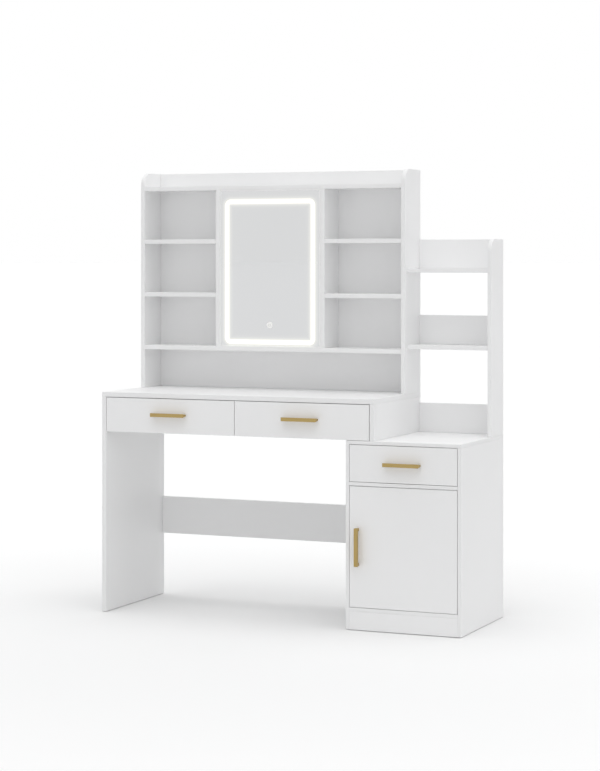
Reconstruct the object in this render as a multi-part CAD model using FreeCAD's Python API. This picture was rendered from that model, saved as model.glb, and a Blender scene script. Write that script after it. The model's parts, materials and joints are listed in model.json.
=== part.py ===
import FreeCAD, Part
import math
import os

# Vanity table with a lit mirror: a desk on a left leg panel and a right-hand cabinet, a hutch of
# open bays with the mirror in the middle, and a narrow open shelf unit over the cabinet.
# +X right, +Y back, +Z up; the origin is under the middle of the overall box, on the floor.

Vector = FreeCAD.Vector
X_DIR = Vector(1, 0, 0)
Y_DIR = Vector(0, 1, 0)
Z_DIR = Vector(0, 0, 1)

# ---- Driving sizes, millimetres ----

# Desk
desk_length = 996.0
desk_height = 750.0
depth = 436.0               # face of the drawer fronts to the back edges
desk_overlap = 99.0         # length of desk that stands on the cabinet
desk_board = 16.0
desk_front_gap = 2.0
desk_front_lift = 1.0       # underside of the desk's drawer fronts above the cabinet top
rail_board = 15.0
back_rail_height = 100.0
modesty_height = 131.0
modesty_lift = 221.0        # modesty panel's lower edge above the floor

# Cabinet
cabinet_width = 395.0
cabinet_height = 615.0
cabinet_board = 12.0
cabinet_front_gap = 1.5
cabinet_back_board = 5.0
plinth_height = 62.0
cabinet_drawer_opening = 122.0

# Hutch
hutch_height = 757.0
hutch_depth = 150.0
hutch_board = 15.0
hutch_back_setback = 10.0   # back board's rear face in front of the side panels' rear edges
hutch_corner = 45.0
long_shelf_rise = 135.0     # underside of the long shelf above the desk top
lip_height = 49.0           # back board and side panels above the top shelf
mirror_bay_width = 380.0
bays_per_side = 3

# Open shelf unit over the cabinet
unit_height = 655.0
unit_depth = 131.0
unit_board = 13.0
unit_corner = 42.0
unit_rail_height = 99.0
unit_shelf_rise = 286.0     # underside of the middle shelf above the cabinet top

# Lit mirror
trim_width = 5.0
trim_depth = 14.0
trim_inset = 0.5            # trim behind the hutch's front edges
glass_inset = 1.5           # glass behind the hutch's front edges
glass_thickness = 4.0
band_width = 16.0
band_side_margin = 20.5     # bay wall to the outside of the light band
band_bottom_margin = 9.0
band_top_margin = 33.0
band_outer_radius = 22.0
band_inner_radius = 4.0
band_thickness = 1.5
switch_radius = 11.0
switch_rise = 51.0          # centre of the switch above the band's inner lower edge
sensor_side = 26.0
sensor_thickness = 5.0
tray_margin = 1.0           # tray inside the trim
tray_depth = 22.0
tray_wall = 1.2
strip_width = 8.0
strip_thickness = 2.0
driver_length = 90.0
driver_height = 45.0
driver_thickness = 15.0
inlet_radius = 5.5
inlet_flange_radius = 9.0
inlet_flange_thickness = 2.0
inlet_socket_radius = 2.75
inlet_socket_depth = 9.0
inlet_pin_radius = 1.0
inlet_rise = 60.0           # inlet centre above the long shelf

# Drawers and door
front_board = 15.0
drawer_side_board = 12.0
drawer_box_height = 88.0
drawer_box_lift = 8.0       # box above the lower edge of its front
drawer_back_room = 36.0     # free space behind a desk drawer's box
drawer_bottom = 4.0
groove_depth = 5.0
groove_lift = 8.0
runner_space = 13.0
runner_height = 35.0
runner_wall = 1.2
runner_flange = 9.0
runner_setback = 2.0
runner_shorter = 20.0       # runner shorter than the drawer box
desk_handle_rise = 4.5      # desk drawer handles above the middle of their fronts
door_handle_inset = 30.0    # handle's centre line to the door's free edge
pivot_inset = 10.0          # pivot to the door's hinged edge
pivot_setback = 5.0         # pivot behind the door's front face
pivot_radius = 3.0
pivot_grip = 20.0           # length of pin inside the door
bush_radius = 4.0
bush_length = 9.0
catch_length = 40.0
catch_height = 12.0
catch_depth = 15.0
catch_inset = 14.0          # catch from the cabinet's left side
strike_length = 30.0
strike_height = 9.0
strike_thickness = 1.0

# Handles
handle_length = 124.0
handle_height = 13.0
handle_projection = 24.0
handle_bar_thickness = 16.0
handle_rear_height = 7.5    # bar narrows towards the rear
handle_post_width = 10.0
handle_edge = 0.8
screw_radius = 2.0
screw_grip = 14.0
screw_head_radius = 4.0
screw_head_height = 2.5

# Fastenings and feet
dowel_radius = 4.0
dowel_end_grip = 20.0       # dowel in the end of a board
dowel_face_skin = 4.5       # board left under a dowel bored in its face
bore_end_room = 0.5         # left free at the end of a bore
dowel_edge_inset = 26.0     # dowel from a wide board's edge
glide_height = 2.0
glide_radius = 5.5          # no wider than the thinnest panel
glide_stem_radius = 1.5
glide_stem_length = 10.0
glide_inset = 30.0

# Clearances
press_clearance = 0.03
running_clearance = 0.05
sliding_clearance = 0.4
screw_clearance = 0.3
divider_clearance = 1.0
part_clearance = 0.3

# ---- Places that follow from them ----

left = -(desk_length + cabinet_width - desk_overlap) / 2
right = -left
desk_right = left + desk_length
cabinet_left = right - cabinet_width
front = -(depth - handle_projection) / 2
back = front + depth
fronts_back = front + front_board
hutch_front = back - hutch_depth
hutch_back_face = back - hutch_back_setback - hutch_board
unit_front = back - unit_depth

leg_inner = left + desk_board
desk_side_inner = desk_right - desk_board
desk_middle = (left + desk_right) / 2
desk_underside = desk_height - desk_board
cabinet_inner_left = cabinet_left + cabinet_board
cabinet_inner_right = right - cabinet_board
cabinet_lid = cabinet_height - cabinet_board
mid_board_top = cabinet_lid - cabinet_drawer_opening
mid_board_underside = mid_board_top - cabinet_board
cabinet_floor = plinth_height + cabinet_board
hutch_top = desk_height + hutch_height
hutch_inner_left = left + hutch_board
hutch_inner_right = desk_right - hutch_board
long_shelf_underside = desk_height + long_shelf_rise
long_shelf_top = long_shelf_underside + hutch_board
top_shelf_top = hutch_top - lip_height
top_shelf_underside = top_shelf_top - hutch_board
mirror_left = desk_middle - mirror_bay_width / 2
mirror_right = desk_middle + mirror_bay_width / 2
unit_inner_right = right - unit_board
unit_top = cabinet_height + unit_height
unit_top_shelf_top = unit_top - unit_rail_height
unit_middle_underside = cabinet_height + unit_shelf_rise
drawer_box_depth = depth - front_board - rail_board - drawer_back_room
runner_length = drawer_box_depth - runner_shorter

nodes = {}
dowels = []


# ---- Shapes used by several pieces ----

def block(x0, x1, y0, y1, z0, z1):
    return Part.makeBox(x1 - x0, y1 - y0, z1 - z0, Vector(x0, y0, z0))


def rod(radius, start, direction, length):
    return Part.makeCylinder(radius, length, start, direction)


def rounded_panel(x0, x1, y0, y1, z0, z1, radius):
    """An upright side panel whose top front corner is rounded."""
    middle = Vector(x0, y0 + radius * (1 - math.sqrt(0.5)), z1 - radius * (1 - math.sqrt(0.5)))
    arc = Part.Arc(Vector(x0, y0, z1 - radius), middle, Vector(x0, y0 + radius, z1))
    corners = [Vector(x0, y0 + radius, z1), Vector(x0, y1, z1), Vector(x0, y1, z0),
               Vector(x0, y0, z0), Vector(x0, y0, z1 - radius)]
    edges = [Part.makeLine(a, b) for a, b in zip(corners, corners[1:])]
    outline = Part.Wire(Part.__sortEdges__([arc.toShape()] + edges))
    return Part.Face(outline).extrude(Vector(x1 - x0, 0, 0))


def rounded_plate(x0, x1, y0, y1, z0, z1, radius):
    """A plate that faces the front, with its four corners rounded."""
    plate = block(x0, x1, y0, y1, z0, z1)
    upright = [e for e in plate.Edges if abs(e.tangentAt(e.FirstParameter).y) > 0.5]
    return plate.makeFillet(radius, upright)


def board(name, x0, x1, y0, y1, z0, z1):
    nodes[name] = block(x0, x1, y0, y1, z0, z1)


def dowel(faced, faced_thickness, ended, place, direction):
    """A dowel across the joint at place; direction points into the face-bored board."""
    face_grip = faced_thickness - dowel_face_skin
    start = place - direction * dowel_end_grip
    length = dowel_end_grip + face_grip
    bore = rod(dowel_radius + press_clearance, start, direction, length)
    nodes[faced] = nodes[faced].cut(bore)
    nodes[ended] = nodes[ended].cut(bore)
    pin_start = start + direction * bore_end_room
    dowels.append(rod(dowel_radius, pin_start, direction, length - 2 * bore_end_room))


def dowel_pair(faced, faced_thickness, ended, direction, x, y, z):
    """Two dowels: exactly one of x, y and z is a pair of values, the others are single."""
    for i in range(2):
        place = Vector(*[value[i] if isinstance(value, tuple) else value for value in (x, y, z)])
        dowel(faced, faced_thickness, ended, place, direction)


def inset(low, high, distance):
    return (low + distance, high - distance)


# ---- Desk ----

def make_desk():
    board("desk_top", left, desk_right, front, back, desk_underside, desk_height)
    board("left_leg", left, leg_inner, front, back, glide_height, desk_underside)
    board("desk_right_side", desk_side_inner, desk_right, front, back, cabinet_height, desk_underside)
    board("drawer_divider", desk_middle - desk_board / 2, desk_middle + desk_board / 2,
          fronts_back + divider_clearance, back - rail_board,
          cabinet_height + desk_front_lift, desk_underside)
    board("desk_back_rail", leg_inner, desk_side_inner, back - rail_board, back,
          desk_underside - back_rail_height, desk_underside)
    board("modesty_panel", leg_inner, cabinet_left, back - rail_board, back,
          modesty_lift, modesty_lift + modesty_height)


def dowel_desk():
    along = inset(front, back - rail_board, 2 * dowel_edge_inset)
    uprights = (("left_leg", (left + leg_inner) / 2),
                ("desk_right_side", (desk_right + desk_side_inner) / 2),
                ("drawer_divider", desk_middle))
    for upright, x in uprights:
        dowel_pair("desk_top", desk_board, upright, Z_DIR, x, along, desk_underside)
    dowel_pair("cabinet_top", cabinet_board, "desk_right_side", -Z_DIR,
               (desk_right + desk_side_inner) / 2, along, cabinet_height)
    rail_middle = back - rail_board / 2
    rail_z = inset(desk_underside - back_rail_height, desk_underside, dowel_edge_inset)
    dowel_pair("left_leg", desk_board, "desk_back_rail", -X_DIR, leg_inner, rail_middle, rail_z)
    dowel_pair("desk_right_side", desk_board, "desk_back_rail", X_DIR,
               desk_side_inner, rail_middle, rail_z)
    panel_z = inset(modesty_lift, modesty_lift + modesty_height, dowel_edge_inset)
    dowel_pair("left_leg", desk_board, "modesty_panel", -X_DIR, leg_inner, rail_middle, panel_z)
    dowel_pair("cabinet_left_side", cabinet_board, "modesty_panel", X_DIR,
               cabinet_left, rail_middle, panel_z)


# ---- Cabinet ----

def make_cabinet():
    board("cabinet_top", cabinet_left, right, front, back, cabinet_lid, cabinet_height)
    board("cabinet_left_side", cabinet_left, cabinet_inner_left, front, back, glide_height, cabinet_lid)
    board("cabinet_right_side", cabinet_inner_right, right, front, back, glide_height, cabinet_lid)
    inner_back = back - cabinet_back_board
    board("cabinet_bottom", cabinet_inner_left, cabinet_inner_right, front, inner_back,
          plinth_height, cabinet_floor)
    board("cabinet_mid_board", cabinet_inner_left, cabinet_inner_right, front, inner_back,
          mid_board_underside, mid_board_top)
    board("cabinet_back", cabinet_inner_left, cabinet_inner_right, inner_back, back,
          plinth_height, cabinet_lid)
    board("cabinet_plinth", cabinet_inner_left, cabinet_inner_right, front, front + cabinet_board,
          glide_height, plinth_height)


def dowel_cabinet():
    sides = (("cabinet_left_side", -X_DIR, cabinet_inner_left, cabinet_left),
             ("cabinet_right_side", X_DIR, cabinet_inner_right, right))
    along = inset(front, back, 2 * dowel_edge_inset)
    shelves = (("cabinet_bottom", cabinet_floor), ("cabinet_mid_board", mid_board_top))
    for side, direction, inner, outer in sides:
        dowel_pair("cabinet_top", cabinet_board, side, Z_DIR, (inner + outer) / 2, along, cabinet_lid)
        for shelf, top in shelves:
            dowel_pair(side, cabinet_board, shelf, direction, inner, along, top - cabinet_board / 2)
        plinth_place = Vector(inner, front + cabinet_board / 2, (glide_height + plinth_height) / 2)
        dowel(side, cabinet_board, "cabinet_plinth", plinth_place, direction)


# ---- Hutch ----

def bay_shelf_undersides():
    """Lower faces of the shelves that split each side bay into equal heights."""
    clear = top_shelf_underside - long_shelf_top - (bays_per_side - 1) * hutch_board
    pitch = clear / bays_per_side + hutch_board
    return [long_shelf_top + pitch * i - hutch_board for i in range(1, bays_per_side)]


def make_hutch():
    nodes["hutch_left_side"] = rounded_panel(left, hutch_inner_left, hutch_front, back,
                                             desk_height, hutch_top, hutch_corner)
    nodes["hutch_right_side"] = rounded_panel(hutch_inner_right, desk_right, hutch_front, back,
                                              desk_height, hutch_top, hutch_corner)
    board("hutch_back", hutch_inner_left, hutch_inner_right,
          hutch_back_face, hutch_back_face + hutch_board, desk_height, hutch_top)
    board("long_shelf", hutch_inner_left, hutch_inner_right, hutch_front, hutch_back_face,
          long_shelf_underside, long_shelf_top)
    board("hutch_top_shelf", hutch_inner_left, hutch_inner_right, hutch_front, hutch_back_face,
          top_shelf_underside, top_shelf_top)
    board("left_divider", mirror_left - hutch_board, mirror_left, hutch_front, hutch_back_face,
          long_shelf_top, top_shelf_underside)
    board("right_divider", mirror_right, mirror_right + hutch_board, hutch_front, hutch_back_face,
          long_shelf_top, top_shelf_underside)
    bays = ((hutch_inner_left, mirror_left - hutch_board), (mirror_right + hutch_board, hutch_inner_right))
    nodes["bay_shelves"] = [block(x0, x1, hutch_front, hutch_back_face, z, z + hutch_board)
                            for x0, x1 in bays for z in bay_shelf_undersides()]


def dowel_hutch():
    along = inset(hutch_front, hutch_back_face, dowel_edge_inset)
    sides = (("hutch_left_side", -X_DIR, hutch_inner_left, left),
             ("hutch_right_side", X_DIR, hutch_inner_right, desk_right))
    half = hutch_board / 2
    for side, direction, inner, outer in sides:
        dowel_pair("desk_top", desk_board, side, -Z_DIR, (inner + outer) / 2, along, desk_height)
        for shelf, z in (("long_shelf", long_shelf_underside), ("hutch_top_shelf", top_shelf_underside)):
            dowel_pair(side, hutch_board, shelf, direction, inner, along, z + half)
    for divider, x in (("left_divider", mirror_left - half), ("right_divider", mirror_right + half)):
        dowel_pair("long_shelf", hutch_board, divider, -Z_DIR, x, along, long_shelf_top)
        dowel_pair("hutch_top_shelf", hutch_board, divider, Z_DIR, x, along, top_shelf_underside)


# ---- Open shelf unit over the cabinet ----

def make_unit():
    nodes["unit_panel"] = rounded_panel(unit_inner_right, right, unit_front, back,
                                        cabinet_height, unit_top, unit_corner)
    board("unit_top_shelf", desk_right, unit_inner_right, unit_front, back,
          unit_top_shelf_top - unit_board, unit_top_shelf_top)
    board("unit_middle_shelf", desk_right, unit_inner_right, unit_front, back,
          unit_middle_underside, unit_middle_underside + unit_board)
    feet = (cabinet_height, unit_middle_underside + unit_board, unit_top_shelf_top)
    nodes["unit_rails"] = [block(desk_right, unit_inner_right, back - rail_board, back,
                                 z, z + unit_rail_height) for z in feet]


def dowel_unit():
    along = inset(unit_front, back, dowel_edge_inset)
    shelves = (("unit_top_shelf", unit_top_shelf_top - unit_board / 2),
               ("unit_middle_shelf", unit_middle_underside + unit_board / 2))
    for shelf, z in shelves:
        dowel_pair("unit_panel", unit_board, shelf, X_DIR, unit_inner_right, along, z)
        dowel_pair("hutch_right_side", hutch_board, shelf, -X_DIR, desk_right, along, z)
    dowel_pair("cabinet_top", cabinet_board, "unit_panel", -Z_DIR,
               (unit_inner_right + right) / 2, along, cabinet_height)


# ---- Lit mirror ----

def band_ring(margin, width, y0, y1):
    """A rounded ring inside the mirror bay; margin is from the band's outer edge inwards."""
    low_x = mirror_left + band_side_margin + margin
    high_x = mirror_right - band_side_margin - margin
    low_z = long_shelf_top + band_bottom_margin + margin
    high_z = top_shelf_underside - band_top_margin - margin
    outer = rounded_plate(low_x, high_x, y0, y1, low_z, high_z, band_outer_radius - margin)
    inner = rounded_plate(low_x + width, high_x - width, y0, y1, low_z + width, high_z - width,
                          band_inner_radius)
    return outer.cut(inner)


def make_mirror():
    bottom = long_shelf_top
    top = top_shelf_underside
    trim_front = hutch_front + trim_inset
    glass_front = hutch_front + glass_inset
    glass_back = glass_front + glass_thickness
    frame = block(mirror_left, mirror_right, trim_front, trim_front + trim_depth, bottom, top)
    window = block(mirror_left + trim_width, mirror_right - trim_width, trim_front,
                   trim_front + trim_depth, bottom + trim_width, top - trim_width)
    nodes["mirror_trim"] = frame.cut(window)

    glass = block(mirror_left + trim_width, mirror_right - trim_width, glass_front, glass_back,
                  bottom + trim_width, top - trim_width)
    band = band_ring(0, band_width, glass_front, glass_front + band_thickness)
    switch_z = bottom + band_bottom_margin + band_width + switch_rise
    switch_place = Vector(desk_middle, glass_front, switch_z)
    icon = rod(switch_radius, switch_place, Y_DIR, band_thickness)
    icon_pocket = rod(switch_radius + press_clearance, switch_place, Y_DIR, band_thickness)
    nodes["mirror_glass"] = glass.cut(band).cut(icon_pocket)
    nodes["light_band"] = band
    half_sensor = sensor_side / 2
    sensor = block(desk_middle - half_sensor, desk_middle + half_sensor, glass_back,
                   glass_back + sensor_thickness, switch_z - half_sensor, switch_z + half_sensor)
    nodes["touch_switch"] = [icon, sensor]

    rim = trim_width + tray_margin
    tray_back = glass_back + tray_depth
    tray = block(mirror_left + rim, mirror_right - rim, glass_back, tray_back, bottom + rim, top - rim)
    wall = rim + tray_wall
    hollow = block(mirror_left + wall, mirror_right - wall, glass_back, tray_back - tray_wall,
                   bottom + wall, top - wall)
    nodes["mirror_tray"] = tray.cut(hollow)
    strip_back = tray_back - tray_wall
    nodes["led_strip"] = band_ring((band_width - strip_width) / 2, strip_width,
                                   strip_back - strip_thickness, strip_back)
    middle_z = (bottom + top) / 2
    nodes["led_driver"] = block(desk_middle - driver_length / 2, desk_middle + driver_length / 2,
                                strip_back - driver_thickness, strip_back,
                                middle_z - driver_height / 2, middle_z + driver_height / 2)


def make_power_inlet():
    """A low-voltage barrel socket in the hutch's back board, behind the mirror."""
    rear = hutch_back_face + hutch_board
    place = Vector(desk_middle, hutch_back_face, long_shelf_top + inlet_rise)
    rear_place = Vector(place.x, rear, place.z)
    nodes["hutch_back"] = nodes["hutch_back"].cut(rod(inlet_radius + press_clearance, place, Y_DIR, hutch_board))
    barrel = rod(inlet_radius, place, Y_DIR, hutch_board)
    flange = rod(inlet_flange_radius, rear_place, Y_DIR, inlet_flange_thickness)
    mouth = rear_place + Y_DIR * inlet_flange_thickness
    socket = rod(inlet_socket_radius, mouth, -Y_DIR, inlet_socket_depth)
    pin = rod(inlet_pin_radius, mouth - Y_DIR * inlet_socket_depth, Y_DIR, inlet_socket_depth)
    nodes["power_inlet"] = barrel.fuse(flange).cut(socket).fuse(pin).removeSplitter()


# ---- Handles ----

def handle_post_x():
    return (handle_length - handle_post_width) / 2 - handle_edge


def handle_bar():
    """A bar whose section narrows from its front face to its rear face."""
    bar_rear = -handle_projection + handle_bar_thickness
    half_front = handle_height / 2
    half_rear = handle_rear_height / 2
    end = -handle_length / 2
    corners = [Vector(end, -handle_projection, -half_front), Vector(end, bar_rear, -half_rear),
               Vector(end, bar_rear, half_rear), Vector(end, -handle_projection, half_front)]
    section = Part.Face(Part.makePolygon(corners + corners[:1]))
    bar = section.extrude(X_DIR * handle_length)
    return bar.makeFillet(handle_edge, bar.Edges)


def handle_solids(upright, x, z):
    """The handle and its two screws, on the front face at x and z."""
    half_width = handle_post_width / 2
    half_height = handle_rear_height / 2 - handle_edge
    bar_rear = -handle_projection + handle_bar_thickness
    handle = handle_bar()
    screws = []
    for side in (-1, 1):
        post_x = side * handle_post_x()
        post = block(post_x - half_width, post_x + half_width, bar_rear - handle_edge, 0.0,
                     -half_height, half_height)
        handle = handle.fuse(post)
    handle = handle.removeSplitter()
    for side in (-1, 1):
        start = Vector(side * handle_post_x(), -screw_grip, 0)
        handle = handle.cut(rod(screw_radius + running_clearance, start, Y_DIR, screw_grip))
        shank = rod(screw_radius, start + Y_DIR * bore_end_room, Y_DIR,
                    screw_grip + front_board - bore_end_room)
        head = rod(screw_head_radius, Vector(start.x, front_board, 0), Y_DIR, screw_head_height)
        screws.append(shank.fuse(head))
    solids = [handle] + screws
    for solid in solids:
        if upright:
            solid.rotate(Vector(0, 0, 0), Y_DIR, 90)
        solid.translate(Vector(x, front, z))
    return solids


def drill_handle(front_node, upright, x, z):
    for side in (-1, 1):
        along = side * handle_post_x()
        place = Vector(x, front, z + along) if upright else Vector(x + along, front, z)
        hole = rod(screw_radius + screw_clearance, place, Y_DIR, front_board)
        nodes[front_node] = nodes[front_node].cut(hole)


# ---- Drawers ----

def channel(wall_x, side, height, y0, length, z):
    """A runner member: a web at wall_x and two flanges that reach out towards side."""
    web_edge = wall_x + side * runner_wall
    flange_edge = wall_x + side * runner_flange
    half = height / 2
    outer = block(min(wall_x, flange_edge), max(wall_x, flange_edge), y0, y0 + length, z - half, z + half)
    hollow = block(min(web_edge, flange_edge), max(web_edge, flange_edge), y0, y0 + length,
                   z - half + runner_wall, z + half - runner_wall)
    return outer.cut(hollow)


def make_drawer(name, walls, front_x, front_z, handle_rise):
    """One drawer between two case walls; returns its case runners."""
    box_left = walls[0] + runner_space
    box_right = walls[1] - runner_space
    inner_left = box_left + drawer_side_board
    inner_right = box_right - drawer_side_board
    box_back = fronts_back + drawer_box_depth
    low = front_z[0] + drawer_box_lift
    high = low + drawer_box_height
    bottom_low = low + groove_lift
    bottom_high = bottom_low + drawer_bottom

    groove_room = press_clearance
    groove = block(inner_left - groove_depth, inner_right + groove_depth, fronts_back - groove_depth,
                   box_back, bottom_low - groove_room, bottom_high + groove_room)
    board(name + "_front", front_x[0], front_x[1], front, fronts_back, front_z[0], front_z[1])
    nodes[name + "_front"] = nodes[name + "_front"].cut(groove)
    sides = ((box_left, inner_left), (inner_right, box_right))
    nodes[name + "_sides"] = [block(x0, x1, fronts_back, box_back, low, high).cut(groove)
                              for x0, x1 in sides]
    board(name + "_bottom", inner_left - groove_depth + part_clearance,
          inner_right + groove_depth - part_clearance,
          fronts_back - groove_depth + part_clearance, box_back, bottom_low, bottom_high)
    board(name + "_back", inner_left, inner_right, box_back - drawer_side_board, box_back,
          bottom_high, high)

    middle_x = (front_x[0] + front_x[1]) / 2
    handle_z = (front_z[0] + front_z[1]) / 2 + handle_rise
    drill_handle(name + "_front", False, middle_x, handle_z)
    nodes[name + "_handle"] = handle_solids(False, middle_x, handle_z)

    runner_z = (low + high) / 2
    inner_height = runner_height - 2 * runner_wall - 2 * sliding_clearance
    nodes[name + "_runners"] = [
        channel(box_left, -1, inner_height, fronts_back + part_clearance, runner_length, runner_z),
        channel(box_right, 1, inner_height, fronts_back + part_clearance, runner_length, runner_z)]
    case_y = fronts_back + runner_setback
    return [channel(walls[0], 1, runner_height, case_y, runner_length, runner_z),
            channel(walls[1], -1, runner_height, case_y, runner_length, runner_z)]


def make_drawers():
    desk_front_z = (cabinet_height + desk_front_lift, desk_underside - desk_front_gap)
    half_gap = desk_front_gap / 2
    half_divider = desk_board / 2
    runners = make_drawer("left_drawer", (leg_inner, desk_middle - half_divider),
                          (leg_inner + desk_front_gap, desk_middle - half_gap),
                          desk_front_z, desk_handle_rise)
    runners += make_drawer("right_drawer", (desk_middle + half_divider, desk_side_inner),
                           (desk_middle + half_gap, desk_side_inner - desk_front_gap),
                           desk_front_z, desk_handle_rise)
    runners += make_drawer("cabinet_drawer", (cabinet_inner_left, cabinet_inner_right),
                           inset(cabinet_inner_left, cabinet_inner_right, cabinet_front_gap),
                           inset(mid_board_top, cabinet_lid, cabinet_front_gap), 0.0)
    nodes["case_runners"] = runners


# ---- Door ----

def make_door():
    low, high = inset(cabinet_floor, mid_board_underside, cabinet_front_gap)
    door_left, door_right = inset(cabinet_inner_left, cabinet_inner_right, cabinet_front_gap)
    board("door_panel", door_left, door_right, front, fronts_back, low, high)
    handle_x = door_left + door_handle_inset
    drill_handle("door_panel", True, handle_x, (low + high) / 2)
    nodes["door_handle"] = handle_solids(True, handle_x, (low + high) / 2)

    pivot = Vector(door_right - pivot_inset, front + pivot_setback, 0)
    pins = []
    bushes = []
    ends = ((low, -Z_DIR, "cabinet_bottom"), (high, Z_DIR, "cabinet_mid_board"))
    for edge, outwards, case_board in ends:
        at_edge = pivot + Z_DIR * edge
        grip_start = at_edge - outwards * pivot_grip
        hole = rod(pivot_radius + press_clearance, grip_start, outwards, pivot_grip)
        nodes["door_panel"] = nodes["door_panel"].cut(hole)
        at_board = at_edge + outwards * cabinet_front_gap
        collar = rod(bush_radius, at_edge, outwards, cabinet_front_gap - part_clearance)
        length = pivot_grip + cabinet_front_gap + bush_length - bore_end_room
        pins.append(rod(pivot_radius, grip_start, outwards, length).fuse(collar))
        seat = rod(bush_radius + press_clearance, at_board, outwards, bush_length)
        nodes[case_board] = nodes[case_board].cut(seat)
        bush = rod(bush_radius, at_board, outwards, bush_length)
        bushes.append(bush.cut(rod(pivot_radius + running_clearance, at_board, outwards, bush_length)))
    nodes["door_pivot_pins"] = pins
    nodes["door_pivot_bushes"] = bushes

    catch_left = cabinet_inner_left + catch_inset
    catch_front = fronts_back + strike_thickness + part_clearance
    board("door_catch", catch_left, catch_left + catch_length, catch_front, catch_front + catch_depth,
          mid_board_underside - catch_height, mid_board_underside)
    strike_left = catch_left + (catch_length - strike_length) / 2
    strike_top = mid_board_underside - cabinet_front_gap - part_clearance
    board("door_strike", strike_left, strike_left + strike_length, fronts_back,
          fronts_back + strike_thickness, strike_top - strike_height, strike_top)


# ---- Feet ----

def make_glides():
    """Nail-on pads under the leg panel and the cabinet's side panels."""
    glides = []
    panels = (("left_leg", (left + leg_inner) / 2),
              ("cabinet_left_side", (cabinet_left + cabinet_inner_left) / 2),
              ("cabinet_right_side", (right + cabinet_inner_right) / 2))
    for panel, x in panels:
        for y in inset(front, back, glide_inset):
            pad = rod(glide_radius, Vector(x, y, 0), Z_DIR, glide_height)
            stem_foot = Vector(x, y, glide_height)
            stem = rod(glide_stem_radius, stem_foot, Z_DIR, glide_stem_length)
            room = rod(glide_stem_radius + press_clearance, stem_foot, Z_DIR, glide_stem_length)
            nodes[panel] = nodes[panel].cut(room)
            glides.append(pad.fuse(stem))
    nodes["floor_glides"] = glides


# ---- Build and write ----

make_desk()
make_cabinet()
make_hutch()
make_unit()
dowel_desk()
dowel_cabinet()
dowel_hutch()
dowel_unit()
make_mirror()
make_power_inlet()
make_drawers()
make_door()
make_glides()
nodes["assembly_dowels"] = dowels

os.makedirs("parts", exist_ok=True)
for name, shape in nodes.items():
    solids = shape if isinstance(shape, list) else [shape]
    whole = Part.makeCompound(solids) if len(solids) > 1 else solids[0]
    whole.exportStep(os.path.join("parts", name + ".step"))
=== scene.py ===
import json
import math

import bmesh
import bpy
from mathutils import Matrix, Vector


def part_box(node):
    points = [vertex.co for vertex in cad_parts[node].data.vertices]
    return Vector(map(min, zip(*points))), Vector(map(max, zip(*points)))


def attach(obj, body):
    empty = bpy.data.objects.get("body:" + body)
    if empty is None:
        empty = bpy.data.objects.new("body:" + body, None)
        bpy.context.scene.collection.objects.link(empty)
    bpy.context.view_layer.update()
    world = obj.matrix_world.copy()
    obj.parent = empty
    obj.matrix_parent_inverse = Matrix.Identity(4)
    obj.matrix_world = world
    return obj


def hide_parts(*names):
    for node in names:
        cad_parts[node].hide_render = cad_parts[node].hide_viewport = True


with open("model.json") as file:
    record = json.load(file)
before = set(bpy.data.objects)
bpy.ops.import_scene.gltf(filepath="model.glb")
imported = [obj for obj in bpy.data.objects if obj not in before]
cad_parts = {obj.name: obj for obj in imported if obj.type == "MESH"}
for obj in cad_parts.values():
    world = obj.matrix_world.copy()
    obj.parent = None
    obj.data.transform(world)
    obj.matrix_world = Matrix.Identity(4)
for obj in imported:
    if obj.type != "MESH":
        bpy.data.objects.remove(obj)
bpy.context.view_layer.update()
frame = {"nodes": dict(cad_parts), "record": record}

MM = 0.001
SAME_PLACE = 0.001 * MM
TOUCHING = 0.01 * MM
DRAWERS = ("left_drawer", "right_drawer", "cabinet_drawer")

# ---- Camera, light and floor ----

CAMERA_PLACE = Vector((2.845, -6.604, 1.206))
CAMERA_HEADING = math.radians(23.3)    # to the left of straight back
CAMERA_LENS = 99.3
CAMERA_SHIFT_Y = -0.165
SENSOR_WIDTH = 36.0
FAR_LIMIT = 1000.0
SKY_COLOUR = (0.99, 0.995, 1.0)
SKY_STRENGTH = 0.43
SOFTBOX_SPREAD = math.radians(80)
SOFTBOXES = (    # name, direction that it shines from, strength
    ("overhead_softbox", (0.05, -0.12, 1.0), 1.48),
    ("front_softbox", (0.25, -0.93, 0.25), 0.27),
    ("side_softbox", (0.95, -0.1, 0.3), 0.34),
)
FLOOR_RADIUS = 600.0
BOUNCE_HEIGHT = -1.0 * MM
BACKDROP_RADIUS = 590.0


def make_camera():
    data = bpy.data.cameras.new("camera")
    data.lens = CAMERA_LENS
    data.sensor_width = SENSOR_WIDTH
    data.shift_y = CAMERA_SHIFT_Y
    data.clip_end = FAR_LIMIT
    camera = bpy.data.objects.new("camera", data)
    camera.location = CAMERA_PLACE
    camera.rotation_euler = (math.pi / 2, 0.0, CAMERA_HEADING)
    bpy.context.scene.collection.objects.link(camera)
    bpy.context.scene.camera = camera


def make_softbox(name, direction, strength):
    """A distant light from a direction, soft because it fills a wide angle."""
    data = bpy.data.lights.new(name, "SUN")
    data.energy = strength
    data.angle = SOFTBOX_SPREAD
    light = bpy.data.objects.new(name, data)
    light.rotation_euler = Vector(direction).to_track_quat("Z", "Y").to_euler()
    bpy.context.scene.collection.objects.link(light)


def add_floor(name, height, material):
    bm = bmesh.new()
    bmesh.ops.create_circle(bm, cap_ends=True, radius=FLOOR_RADIUS, segments=96,
                            matrix=Matrix.Translation((0.0, 0.0, height)))
    floor = add_object(name, bm, material)
    return floor


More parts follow.
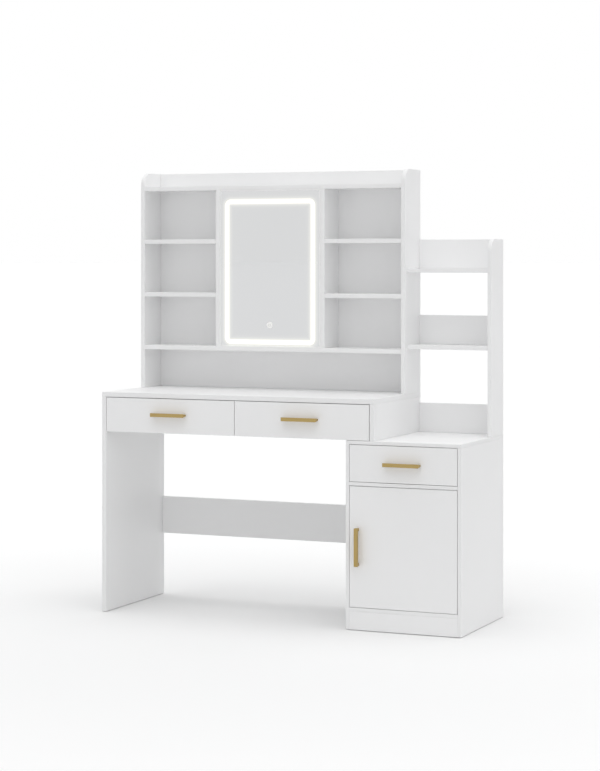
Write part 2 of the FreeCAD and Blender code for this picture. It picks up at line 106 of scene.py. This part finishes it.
def make_studio():
    world = bpy.data.worlds.new("studio")
    world.use_nodes = True
    background = world.node_tree.nodes["Background"]
    background.inputs["Color"].default_value = (*SKY_COLOUR, 1.0)
    background.inputs["Strength"].default_value = SKY_STRENGTH
    bpy.context.scene.world = world
    for name, direction, strength in SOFTBOXES:
        make_softbox(name, direction, strength)
    bpy.context.scene.view_settings.view_transform = "Standard"

    # One floor is seen. The other, just under it, sends light back up to the furniture.
    floor = add_floor("floor", 0.0, floor_with_painted_shade())
    floor.visible_diffuse = False
    bounce = add_floor("floor_bounce", BOUNCE_HEIGHT, floor_paint("grey_bounce", BOUNCE_WHITE).material)
    bounce.visible_camera = False
    bm = bmesh.new()
    bmesh.ops.create_icosphere(bm, subdivisions=4, radius=BACKDROP_RADIUS)
    backdrop = add_object("backdrop", bm, backdrop_paint())
    backdrop.visible_diffuse = False
    backdrop.visible_shadow = False


# ---- Mesh helpers ----

def add_object(name, bm, material):
    mesh = bpy.data.meshes.new(name)
    bm.to_mesh(mesh)
    bm.free()
    piece = bpy.data.objects.new(name, mesh)
    bpy.context.scene.collection.objects.link(piece)
    mesh.materials.append(material)
    return piece


def body_of(node):
    for body, members in frame["record"]["behaviour"]["bodies"].items():
        if node in members:
            return body
    raise KeyError(node)


def stand_for(piece, node):
    """The piece takes the place and the body of a CAD node, whose own mesh is hidden."""
    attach(piece, body_of(node))
    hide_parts(node)


def cad_copy(node):
    bm = bmesh.new()
    bm.from_mesh(frame["nodes"][node].data)
    bmesh.ops.remove_doubles(bm, verts=bm.verts, dist=SAME_PLACE)
    return bm


def solid_boxes(node):
    """Lowest and highest corners of each separate solid of a CAD node."""
    bm = cad_copy(node)
    boxes = []
    waiting = set(bm.verts)
    while waiting:
        island = {waiting.pop()}
        edge_of_island = list(island)
        while edge_of_island:
            vert = edge_of_island.pop()
            for link in vert.link_edges:
                other = link.other_vert(vert)
                if other not in island:
                    island.add(other)
                    edge_of_island.append(other)
        waiting -= island
        low = Vector([min(v.co[i] for v in island) for i in range(3)])
        high = Vector([max(v.co[i] for v in island) for i in range(3)])
        boxes.append((low, high))
    bm.free()
    return sorted(boxes, key=lambda pair: tuple(pair[0]))


def is_in_box(point, low, high):
    return all(low[i] - TOUCHING <= point[i] <= high[i] + TOUCHING for i in range(3))


def add_box(bm, low, high):
    size = high - low
    place = Matrix.Translation((low + high) / 2) @ Matrix.Diagonal(size).to_4x4()
    return bmesh.ops.create_cube(bm, size=1.0, matrix=place)["verts"]


def edges_between(bm, verts):
    """The edges that join two of these vertices, in the mesh's own order."""
    return [e for e in bm.edges if all(v in verts for v in e.verts)]


def soften(bm, edges, width, segments=2):
    bmesh.ops.bevel(bm, geom=edges, offset=width, offset_type="OFFSET", segments=segments,
                    profile=0.5, affect="EDGES", clamp_overlap=True, material=-1)


SHARP_ANGLE = math.radians(35)


def sharp_edges(bm):
    return [e for e in bm.edges if e.is_manifold and e.calc_face_angle(0.0) > SHARP_ANGLE]


def smooth_shade(bm):
    for face in bm.faces:
        face.smooth = True


def harden(piece):
    """Flat faces stay flat beside their rounded edges."""
    modifier = piece.modifiers.new("even_shading", "WEIGHTED_NORMAL")
    modifier.keep_sharp = True


# ---- Boards ----

BOARD_EDGE = 1.1 * MM
FRONT_EDGE = 0.5 * MM
HARDBOARD_EDGE = 0.4 * MM
ROUNDED_CORNERS = {"hutch_left_side": 45.0 * MM, "hutch_right_side": 45.0 * MM, "unit_panel": 42.0 * MM}


def board(node, face_material, band_material, edge=BOARD_EDGE):
    """Boards of one CAD node: flat faces in board stock, narrow faces in edge band."""
    bm = bmesh.new()
    for low, high in solid_boxes(node):
        add_box(bm, low, high)
        if node in ROUNDED_CORNERS:
            corner = [e for e in bm.edges
                      if all(abs(v.co.y - low.y) < SAME_PLACE and abs(v.co.z - high.z) < SAME_PLACE
                             for v in e.verts)]
            soften(bm, corner, ROUNDED_CORNERS[node], segments=14)
        thin = min(range(3), key=lambda i: high[i] - low[i])
        for face in bm.faces:
            is_edge = abs(face.normal[thin]) < 0.5
            if is_edge and is_in_box(face.calc_center_median(), low, high):
                face.material_index = 1
    soften(bm, sharp_edges(bm), edge)
    smooth_shade(bm)
    piece = add_object(node + "_board", bm, face_material)
    piece.data.materials.append(band_material)
    harden(piece)
    stand_for(piece, node)


# ---- Materials ----

NOISE_LOW, NOISE_HIGH = 0.3, 0.7


class Paint:
    """A material's node tree with a Principled shader in it."""

    def __init__(self, name, colour, roughness, metallic=0.0):
        self.material = bpy.data.materials.new(name)
        self.material.use_nodes = True
        self.tree = self.material.node_tree
        self.shader = self.tree.nodes["Principled BSDF"]
        self.set("Base Color", (*colour, 1.0))
        self.set("Roughness", roughness)
        self.set("Metallic", metallic)

    def set(self, socket, value):
        self.shader.inputs[socket].default_value = value

    def node(self, kind, **settings):
        made = self.tree.nodes.new("ShaderNode" + kind)
        for key, value in settings.items():
            setattr(made, key, value)
        return made

    def link(self, output, target):
        self.tree.links.new(output, target)

    def coordinates(self, scale=(1.0, 1.0, 1.0)):
        place = self.node("TexCoord")
        mapping = self.node("Mapping")
        mapping.inputs["Scale"].default_value = scale
        self.link(place.outputs["Object"], mapping.inputs["Vector"])
        return mapping.outputs["Vector"]

    def noise(self, scale, detail=2.0, stretch=(1.0, 1.0, 1.0)):
        texture = self.node("TexNoise")
        texture.inputs["Scale"].default_value = scale
        texture.inputs["Detail"].default_value = detail
        self.link(self.coordinates(stretch), texture.inputs["Vector"])
        return texture.outputs["Fac"]

    def between(self, value, low, high):
        """The part of a noise's range that it mostly keeps to becomes low to high."""
        spread = self.node("MapRange")
        spread.inputs["From Min"].default_value = NOISE_LOW
        spread.inputs["From Max"].default_value = NOISE_HIGH
        spread.inputs["To Min"].default_value = low
        spread.inputs["To Max"].default_value = high
        self.link(value, spread.inputs["Value"])
        return spread.outputs["Result"]

    def vary_colour(self, value, dark, light):
        mix = self.node("Mix", data_type="RGBA")
        mix.inputs["A"].default_value = (*dark, 1.0)
        mix.inputs["B"].default_value = (*light, 1.0)
        self.link(self.between(value, 0.0, 1.0), mix.inputs["Factor"])
        for socket in mix.outputs:
            if socket.type == "RGBA":
                self.link(socket, self.shader.inputs["Base Color"])

    def vary_roughness(self, value, low, high):
        self.link(self.between(value, low, high), self.shader.inputs["Roughness"])

    def grain(self, value, depth, strength):
        bump = self.node("Bump")
        bump.inputs["Strength"].default_value = strength
        bump.inputs["Distance"].default_value = depth
        self.link(value, bump.inputs["Height"])
        self.link(bump.outputs["Normal"], self.shader.inputs["Normal"])


def shade(colour, factor):
    return tuple(min(1.0, channel * factor) for channel in colour)


def melamine(name, colour, low_gloss, high_gloss):
    """White board stock: a pearl grain a bit under a millimetre, and faint patches in its sheen."""
    paint = Paint(name, colour, high_gloss)
    paint.vary_colour(paint.noise(2.5), shade(colour, 0.985), shade(colour, 1.012))
    paint.vary_roughness(paint.noise(9.0, 4.0), low_gloss, high_gloss)
    paint.grain(paint.noise(1300.0, 3.0), 0.04 * MM, 0.6)
    return paint.material


def painted_hardboard(name, colour):
    paint = Paint(name, colour, 0.5)
    paint.vary_colour(paint.noise(60.0, 5.0), shade(colour, 0.96), shade(colour, 1.01))
    paint.vary_roughness(paint.noise(25.0, 4.0), 0.42, 0.6)
    paint.grain(paint.noise(700.0, 4.0), 0.08 * MM, 0.7)
    return paint.material


BRASS = (0.45, 0.325, 0.12)


def brushed_metal(name, colour, along, low, high, metallic=1.0):
    """Fine lines that run along one axis of the piece."""
    paint = Paint(name, colour, high, metallic)
    stretch = [1.0, 1.0, 1.0]
    stretch[along] = 0.012
    lines = paint.noise(2600.0, 3.0, tuple(stretch))
    paint.vary_colour(lines, shade(colour, 0.93), shade(colour, 1.05))
    paint.vary_roughness(lines, low, high)
    paint.grain(lines, 0.03 * MM, 0.5)
    return paint.material


def moulded_plastic(name, colour):
    paint = Paint(name, colour, 0.45)
    paint.vary_colour(paint.noise(14.0, 3.0), shade(colour, 0.95), shade(colour, 1.03))
    paint.vary_roughness(paint.noise(40.0, 3.0), 0.36, 0.52)
    paint.grain(paint.noise(2200.0, 2.0), 0.03 * MM, 0.5)
    return paint.material


def powder_coat(name, colour):
    paint = Paint(name, colour, 0.5)
    paint.vary_colour(paint.noise(8.0, 3.0), shade(colour, 0.97), shade(colour, 1.02))
    paint.vary_roughness(paint.noise(30.0, 3.0), 0.4, 0.6)
    paint.grain(paint.noise(1600.0, 2.0), 0.05 * MM, 0.6)
    return paint


def beech():
    paint = Paint("beech", (0.42, 0.26, 0.13), 0.65)
    lines = paint.noise(260.0, 5.0, (0.15, 0.15, 1.0))
    paint.vary_colour(lines, (0.34, 0.2, 0.09), (0.5, 0.32, 0.17))
    paint.vary_roughness(lines, 0.55, 0.75)
    paint.grain(lines, 0.08 * MM, 0.6)
    return paint.material


FLOOR_WHITE = 0.82
BOUNCE_WHITE = 0.92
FLOOR_GLOW = 0.23
PAINTED_CONTACT_SHADE_REACH = 0.5
# Painted shadow: the floor glows least just in front of the furniture, and evenly beyond the reach.
PAINTED_SHADOW_CENTRE = (0.0, -0.7, 0.0)
PAINTED_SHADOW_REACH = 2.6
PAINTED_SHADOW_SHARE = 0.52


def floor_paint(name, white):
    """Matt paint with no shine."""
    paint = Paint(name, (white, white, white), 0.9)
    paint.set("Specular IOR Level", 0.0)
    return paint


def floor_with_painted_shade():
    """Floor paint with a glow of its own, weaker where something stands close by as painted contact
    shade, and weaker just in front of the furniture as a painted shadow.
    """
    paint = floor_paint("pale_floor", FLOOR_WHITE)
    # Painted contact shade: the glow is weaker where furniture stands close around the floor.
    painted_contact_shade = paint.node("AmbientOcclusion", samples=8)
    painted_contact_shade.inputs["Distance"].default_value = PAINTED_CONTACT_SHADE_REACH
    paint.link(painted_contact_shade.outputs["Color"], paint.shader.inputs["Emission Color"])
    # Painted shadow: the glow is weaker near a point just in front of the furniture.
    from_painted_shadow = paint.node("VectorMath", operation="DISTANCE")
    paint.link(paint.coordinates(), from_painted_shadow.inputs[0])
    from_painted_shadow.inputs[1].default_value = PAINTED_SHADOW_CENTRE
    fade = paint.node("MapRange")
    fade.inputs["From Max"].default_value = PAINTED_SHADOW_REACH
    fade.inputs["To Min"].default_value = FLOOR_GLOW * PAINTED_SHADOW_SHARE
    fade.inputs["To Max"].default_value = FLOOR_GLOW
    paint.link(from_painted_shadow.outputs["Value"], fade.inputs["Value"])
    paint.link(fade.outputs["Result"], paint.shader.inputs["Emission Strength"])
    return paint.material


def backdrop_paint():
    paint = Paint("white_backdrop", (0.0, 0.0, 0.0), 1.0)
    paint.set("Specular IOR Level", 0.0)
    paint.set("Emission Color", (1.0, 1.0, 1.0, 1.0))
    paint.set("Emission Strength", 1.0)
    return paint.material


BAND_COLOUR = (1.0, 0.985, 0.94)
FROST = (0.95, 0.95, 0.93)
# Colour of the painted glow beside the light band.
PAINTED_GLOW_COLOUR = (1.0, 0.97, 0.72)
MIRROR_TINT = (0.69, 0.695, 0.7)
BAND_LOW, BAND_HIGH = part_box("light_band")
BAND_WIDTH = 16.0 * MM
BAND_CORNER = 22.0 * MM


def painted_band_glow(paint, strength, reach):
    """A painted glow: warm emission that fades with the distance from the lit band, on either side of
    it.
    """
    def step(operation, first, second=0.0):
        made = paint.node("Math", operation=operation)
        for socket, value in zip(made.inputs, (first, second)):
            if isinstance(value, float):
                socket.default_value = value
            else:
                paint.link(value, socket)
        return made.outputs["Value"]

    parts = paint.node("SeparateXYZ")
    paint.link(paint.coordinates(), parts.inputs["Vector"])
    middle = (BAND_LOW + BAND_HIGH) / 2
    half = (BAND_HIGH - BAND_LOW) / 2
    beyond = []
    for axis, centre, reach_out in (("X", middle.x, half.x), ("Z", middle.z, half.z)):
        offset = step("ABSOLUTE", step("SUBTRACT", parts.outputs[axis], centre))
        beyond.append(step("SUBTRACT", offset, reach_out - BAND_CORNER))
    outside = [step("MAXIMUM", value, 0.0) for value in beyond]
    squares = [step("MULTIPLY", value, value) for value in outside]
    past_corner = step("SQRT", step("ADD", squares[0], squares[1]))
    inside = step("MINIMUM", step("MAXIMUM", beyond[0], beyond[1]), 0.0)
    from_outer = step("SUBTRACT", step("ADD", past_corner, inside), BAND_CORNER)
    from_middle = step("ABSOLUTE", step("ADD", from_outer, BAND_WIDTH / 2))
    from_band = step("MAXIMUM", step("SUBTRACT", from_middle, BAND_WIDTH / 2), 0.0)
    fade = step("EXPONENT", step("MULTIPLY", from_band, -1.0 / reach))
    paint.set("Emission Color", (*PAINTED_GLOW_COLOUR, 1.0))
    paint.link(step("MULTIPLY", fade, strength), paint.shader.inputs["Emission Strength"])


def mirror_silver():
    """Silvered glass with a little painted glow beside the light band."""
    paint = Paint("mirror_silver", MIRROR_TINT, 0.03, metallic=1.0)
    paint.vary_colour(paint.noise(1.6), shade(MIRROR_TINT, 0.992), shade(MIRROR_TINT, 1.008))
    paint.vary_roughness(paint.noise(7.0, 4.0), 0.015, 0.04)
    # Painted glow on the mirror beside the light band.
    painted_band_glow(paint, 0.26, 4.8 * MM)
    return paint.material


def trim_with_painted_glow():
    paint = powder_coat("trim_coat", (0.93, 0.93, 0.925))
    # Painted glow on the trim beside the light band.
    painted_band_glow(paint, 0.5, 4.0 * MM)
    return paint.material


def frosted_light(name, base, colour, strength):
    paint = Paint(name, base, 0.6)
    paint.vary_roughness(paint.noise(900.0, 2.0), 0.5, 0.7)
    paint.grain(paint.noise(2500.0, 2.0), 0.02 * MM, 0.5)
    paint.set("Emission Color", (*colour, 1.0))
    paint.set("Emission Strength", strength)
    return paint.material


# ---- Handles ----

HANDLE_EDGE = 0.8 * MM
HANDLE_DEPTH = 16.0 * MM
HANDLE_REAR_SHARE = 7.5 / 13.0
POST_WIDTH = 10.0 * MM
POST_HEIGHT = 5.9 * MM
POST_INSET = 0.8 * MM
POST_OVERLAP = 0.2 * MM


def handle(node, upright, material):
    """A bar that narrows towards its rear, on two posts, drawn lying along X and then placed."""
    low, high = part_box(node)
    front_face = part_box(node.replace("_handle", "_front") if "drawer" in node else "door_panel")[0].y
    length = high.z - low.z if upright else high.x - low.x
    height = high.x - low.x if upright else high.z - low.z
    projection = front_face - low.y
    bar_rear = HANDLE_DEPTH - projection
    bm = bmesh.new()
    bar = add_box(bm, Vector((-length / 2, -projection, -height / 2)),
                  Vector((length / 2, bar_rear, height / 2)))
    for vert in bar:
        if vert.co.y > bar_rear - MM:
            vert.co.z *= HANDLE_REAR_SHARE
    soften(bm, sharp_edges(bm), HANDLE_EDGE, 3)
    for side in (-1, 1):
        middle = side * (length / 2 - POST_INSET - POST_WIDTH / 2)
        post = add_box(bm, Vector((middle - POST_WIDTH / 2, bar_rear - POST_OVERLAP, -POST_HEIGHT / 2)),
                       Vector((middle + POST_WIDTH / 2, 0.0, POST_HEIGHT / 2)))
        along_y = [e for e in edges_between(bm, post)
                   if abs(e.verts[0].co.y - e.verts[1].co.y) > MM]
        soften(bm, along_y, HANDLE_EDGE, 3)
    smooth_shade(bm)
    if upright:
        bmesh.ops.rotate(bm, verts=bm.verts, cent=(0, 0, 0),
                         matrix=Matrix.Rotation(math.pi / 2, 3, "Y"))
    centre = Vector(((low.x + high.x) / 2, front_face, (low.z + high.z) / 2))
    bmesh.ops.translate(bm, verts=bm.verts, vec=centre)
    piece = add_object(node + "_bar", bm, material)
    harden(piece)
    add_screw_heads(piece, node)
    stand_for(piece, node)


HEAD_DEPTH = 2.5 * MM
HEAD_EDGE = 1.0 * MM
RECESS_RIM = 0.9 * MM
RECESS_DEPTH = 1.2 * MM


def add_screw_heads(piece, node):
    """Pan heads with a round recess, behind the front that the handle is screwed to."""
    bm = bmesh.new()
    bm.from_mesh(piece.data)
    for low, high in solid_boxes(node):
        if high.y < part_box(node)[1].y - TOUCHING:    # the bar, which ends in front of the heads
            continue
        radius = max(high.x - low.x, high.z - low.z) / 2
        centre = Vector(((low.x + high.x) / 2, high.y - HEAD_DEPTH / 2, (low.z + high.z) / 2))
        head = bmesh.new()
        bmesh.ops.create_cone(head, cap_ends=True, segments=32, radius1=radius, radius2=radius,
                              depth=HEAD_DEPTH)
        rim = [e for e in head.edges if all(v.co.z > 0 for v in e.verts)]
        soften(head, rim, HEAD_EDGE, 4)
        top = max(head.faces, key=lambda f: f.calc_center_median().z)
        bmesh.ops.inset_individual(head, faces=[top], thickness=RECESS_RIM)
        bmesh.ops.translate(head, verts=top.verts, vec=(0, 0, -RECESS_DEPTH))
        smooth_shade(head)
        bmesh.ops.rotate(head, verts=head.verts, cent=(0, 0, 0),
                         matrix=Matrix.Rotation(-math.pi / 2, 3, "X"))
        bmesh.ops.translate(head, verts=head.verts, vec=centre)
        mesh = bpy.data.meshes.new("head")
        head.to_mesh(mesh)
        head.free()
        bm.from_mesh(mesh)
        bpy.data.meshes.remove(mesh)
    bm.to_mesh(piece.data)
    bm.free()


# ---- Touch switch and door catch ----

SWITCH_RECESS = 0.15 * MM
SYMBOL_RECESS = 0.05 * MM
SYMBOL_RADIUS = 4.6 * MM
SYMBOL_LINE = 0.9 * MM
SYMBOL_OPENING = math.radians(70)
SYMBOL_BAR_START = 0.6 * MM
DISC_EDGE = 0.15 * MM
SENSOR_EDGE = 1.0 * MM


def touch_switch(frosted, print_material, case_material):
    """A frosted disc with a plain on-off sign, and the sensor's case behind the glass."""
    (disc_low, disc_high), (case_low, case_high) = sorted(solid_boxes("touch_switch"),
                                                          key=lambda pair: pair[0].y)
    centre = (disc_low + disc_high) / 2
    face_y = disc_low.y
    radius = (disc_high.x - disc_low.x) / 2
    depth = disc_high.y - face_y - SWITCH_RECESS
    bm = bmesh.new()
    turn = Matrix.Translation((centre.x, face_y + SWITCH_RECESS + depth / 2, centre.z)) \
        @ Matrix.Rotation(math.pi / 2, 4, "X")
    bmesh.ops.create_cone(bm, cap_ends=True, segments=64, radius1=radius, radius2=radius, depth=depth,
                          matrix=turn)
    soften(bm, sharp_edges(bm), DISC_EDGE)
    disc_faces = set(bm.faces)

    near_y = face_y + SYMBOL_RECESS
    far_y = face_y + SWITCH_RECESS + SYMBOL_RECESS
    start = Matrix.Rotation(SYMBOL_OPENING / 2, 3, "Y")
    section = [bm.verts.new(centre + start @ Vector((0.0, y - centre.y, r)))
               for r, y in ((SYMBOL_RADIUS - SYMBOL_LINE, near_y), (SYMBOL_RADIUS, near_y),
                            (SYMBOL_RADIUS, far_y), (SYMBOL_RADIUS - SYMBOL_LINE, far_y))]
    cap = bm.faces.new(section)
    bmesh.ops.spin(bm, geom=section + list(cap.edges) + [cap], cent=centre, axis=(0, 1, 0),
                   angle=math.tau - SYMBOL_OPENING, steps=36, use_duplicate=False)
    add_box(bm, Vector((centre.x - SYMBOL_LINE / 2, near_y, centre.z + SYMBOL_BAR_START)),
            Vector((centre.x + SYMBOL_LINE / 2, far_y, centre.z + SYMBOL_RADIUS + SYMBOL_LINE)))
    sign_faces = [f for f in bm.faces if f not in disc_faces]
    for face in sign_faces:
        face.material_index = 1
    bmesh.ops.recalc_face_normals(bm, faces=sign_faces)

    case = add_box(bm, case_low, case_high)
    for face in {f for v in case for f in v.link_faces}:
        face.material_index = 2
    soften(bm, edges_between(bm, case), SENSOR_EDGE, 3)
    smooth_shade(bm)
    piece = add_object("touch_switch_disc", bm, frosted)
    piece.data.materials.append(print_material)
    piece.data.materials.append(case_material)
    harden(piece)
    stand_for(piece, "touch_switch")


CATCH_WALL = 2.0 * MM
CATCH_MOUTH_DEPTH = 5.0 * MM
CATCH_EDGE = 0.6 * MM
PLATE_THICKNESS = 1.2 * MM
PLATE_EDGE = 0.2 * MM
MAGNET_SETBACK = 0.6 * MM
INSERT_END_ROOM = 5.0 * MM
INSERT_TOP_ROOM = 2.4 * MM
INSERT_RECESS = 0.2 * MM
INSERT_DEPTH = 5.5 * MM


def door_catch(case_material, magnet_material, plate_material):
    """A magnet between two steel plates, in a plastic case open at the front."""
    low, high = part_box("door_catch")
    bm = bmesh.new()
    add_box(bm, low, high)
    mouth = min(bm.faces, key=lambda f: f.calc_center_median().y)
    bmesh.ops.inset_individual(bm, faces=[mouth], thickness=CATCH_WALL)
    bmesh.ops.translate(bm, verts=mouth.verts, vec=(0, CATCH_MOUTH_DEPTH, 0))
    soften(bm, sharp_edges(bm), CATCH_EDGE, 3)
    inner_low = low + Vector((INSERT_END_ROOM, INSERT_RECESS, INSERT_TOP_ROOM))
    inner_high = high - Vector((INSERT_END_ROOM, 0.0, INSERT_TOP_ROOM))
    magnet_low = inner_low.z + PLATE_THICKNESS
    magnet_high = inner_high.z - PLATE_THICKNESS
    magnet, plate = 1, 2
    layers = ((inner_low.z, magnet_low, 0.0, plate),
              (magnet_low, magnet_high, MAGNET_SETBACK, magnet),
              (magnet_high, inner_high.z, 0.0, plate))
    for bottom, top, setback, material_index in layers:
        verts = add_box(bm, Vector((inner_low.x, inner_low.y + setback, bottom)),
                        Vector((inner_high.x, low.y + INSERT_DEPTH, top)))
        for face in {f for v in verts for f in v.link_faces}:
            face.material_index = material_index
        soften(bm, edges_between(bm, verts), PLATE_EDGE)
    smooth_shade(bm)
    piece = add_object("door_catch_case", bm, case_material)
    piece.data.materials.append(magnet_material)
    piece.data.materials.append(plate_material)
    harden(piece)
    stand_for(piece, "door_catch")


# ---- Pieces that keep their CAD shape, with softened edges ----

DRAWER_SIDE_EDGE = 0.4 * MM
RUNNER_EDGE = 0.3 * MM
TRIM_EDGE = 0.6 * MM
FLAT_ANGLE = math.radians(1)


def softened(node, material, edge):
    bm = cad_copy(node)
    bmesh.ops.dissolve_limit(bm, angle_limit=FLAT_ANGLE, verts=bm.verts, edges=bm.edges)
    soften(bm, sharp_edges(bm), edge)
    smooth_shade(bm)
    piece = add_object(node + "_piece", bm, material)
    harden(piece)
    stand_for(piece, node)


def dress(node, material):
    mesh = frame["nodes"][node].data
    mesh.materials.clear()
    mesh.materials.append(material)


# ---- Build ----

make_camera()
make_studio()

white_face = melamine("white_melamine", (0.945, 0.945, 0.947), 0.42, 0.56)
white_band = melamine("white_edge_band", (0.925, 0.925, 0.927), 0.38, 0.5)
white_hardboard = painted_hardboard("white_hardboard", (0.9, 0.9, 0.895))
brass_across = brushed_metal("brass_lacquer_across", BRASS, 0, 0.42, 0.55, metallic=0.6)
brass_upright = brushed_metal("brass_lacquer_upright", BRASS, 2, 0.42, 0.55, metallic=0.6)
zinc = brushed_metal("zinc_plate", (0.55, 0.56, 0.57), 1, 0.28, 0.42)
nickel = brushed_metal("nickel_plate", (0.6, 0.6, 0.6), 2, 0.22, 0.34)
white_plastic = moulded_plastic("white_plastic", (0.74, 0.74, 0.73))
black_plastic = moulded_plastic("black_plastic", (0.02, 0.02, 0.02))
grey_print = moulded_plastic("grey_print", (0.62, 0.62, 0.62))
tray_coat = powder_coat("tray_coat", (0.7, 0.7, 0.7)).material
dowel_beech = beech()

carcass_boards = ("left_leg", "desk_right_side", "drawer_divider", "desk_back_rail",
                  "modesty_panel", "cabinet_top", "cabinet_left_side", "cabinet_right_side",
                  "cabinet_bottom", "cabinet_mid_board", "cabinet_plinth", "hutch_left_side",
                  "hutch_right_side", "hutch_back", "hutch_top_shelf", "left_divider", "right_divider",
                  "long_shelf", "bay_shelves", "unit_panel", "unit_top_shelf", "unit_middle_shelf",
                  "unit_rails")
for node in carcass_boards:
    board(node, white_face, white_band)
board("desk_top", white_face, white_band, FRONT_EDGE)
board("cabinet_back", white_hardboard, white_hardboard, HARDBOARD_EDGE)
board("door_panel", white_face, white_band, FRONT_EDGE)
for drawer in DRAWERS:
    board(drawer + "_front", white_face, white_band, FRONT_EDGE)
    board(drawer + "_back", white_face, white_band)
    board(drawer + "_bottom", white_hardboard, white_hardboard, HARDBOARD_EDGE)
    softened(drawer + "_sides", white_face, DRAWER_SIDE_EDGE)
    softened(drawer + "_runners", zinc, RUNNER_EDGE)
    handle(drawer + "_handle", False, brass_across)
handle("door_handle", True, brass_upright)
softened("case_runners", zinc, RUNNER_EDGE)

softened("mirror_trim", trim_with_painted_glow(), TRIM_EDGE)
dress("mirror_glass", mirror_silver())
dress("light_band", frosted_light("frosted_band", shade(FROST, 0.3), BAND_COLOUR, 0.86))
touch_switch(frosted_light("frosted_icon", FROST, BAND_COLOUR, 0.08), grey_print, black_plastic)
dress("led_strip", frosted_light("led_strip", FROST, BAND_COLOUR, 1.0))
dress("mirror_tray", tray_coat)
dress("led_driver", black_plastic)
dress("power_inlet", black_plastic)
dress("assembly_dowels", dowel_beech)
dress("floor_glides", white_plastic)
dress("door_pivot_pins", nickel)
dress("door_pivot_bushes", white_plastic)
door_catch(white_plastic, black_plastic, nickel)
dress("door_strike", nickel)
